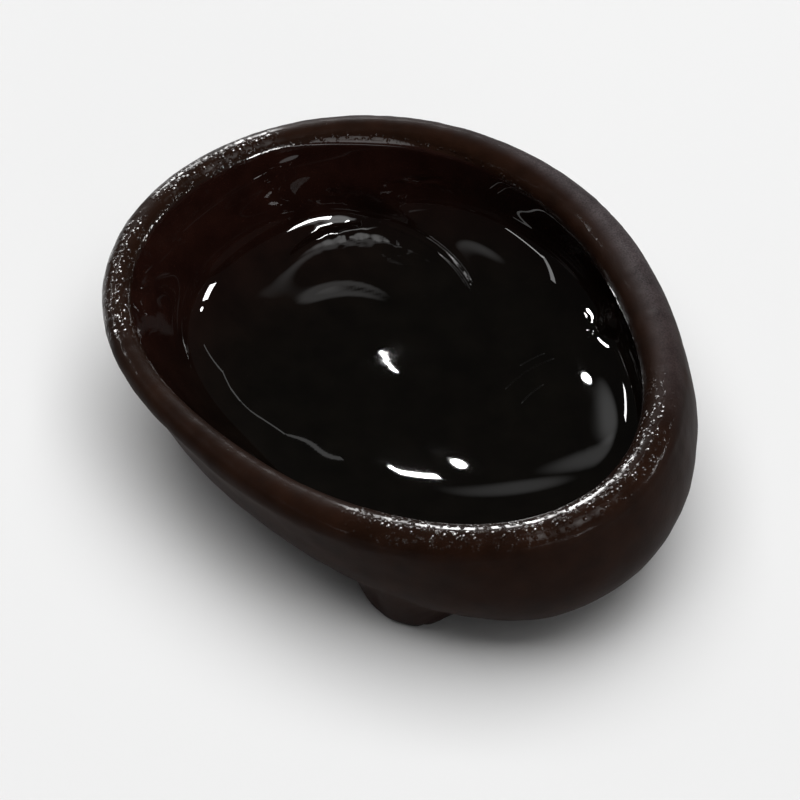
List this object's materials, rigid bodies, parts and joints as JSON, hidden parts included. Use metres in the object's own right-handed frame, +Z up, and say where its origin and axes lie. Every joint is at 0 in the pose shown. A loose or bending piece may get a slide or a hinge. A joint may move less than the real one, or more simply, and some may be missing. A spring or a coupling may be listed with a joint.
{
  "type": "wood ear mushroom",
  "caption": "Soaked wood ear mushroom: one cup-shaped fruit body with a rounded lip, a glossy folded hollow, a velvety brown outside and a knob cut off flat to rest on",
  "frame": {"origin": "in the plane of the cut, under the middle of the ear's outline seen from above", "axes": "+Z up out of the hollow, with the lip level on average; +X along the widest way across the lip, towards the overhanging wall; -Y towards the side on which the knob sits"},
  "size_m": [0.0468, 0.0438, 0.0159],
  "materials": {
    "flesh": "gloss"
  },
  "bodies": {
    "root": {"ear": "flesh"}
  },
  "joints": []
}
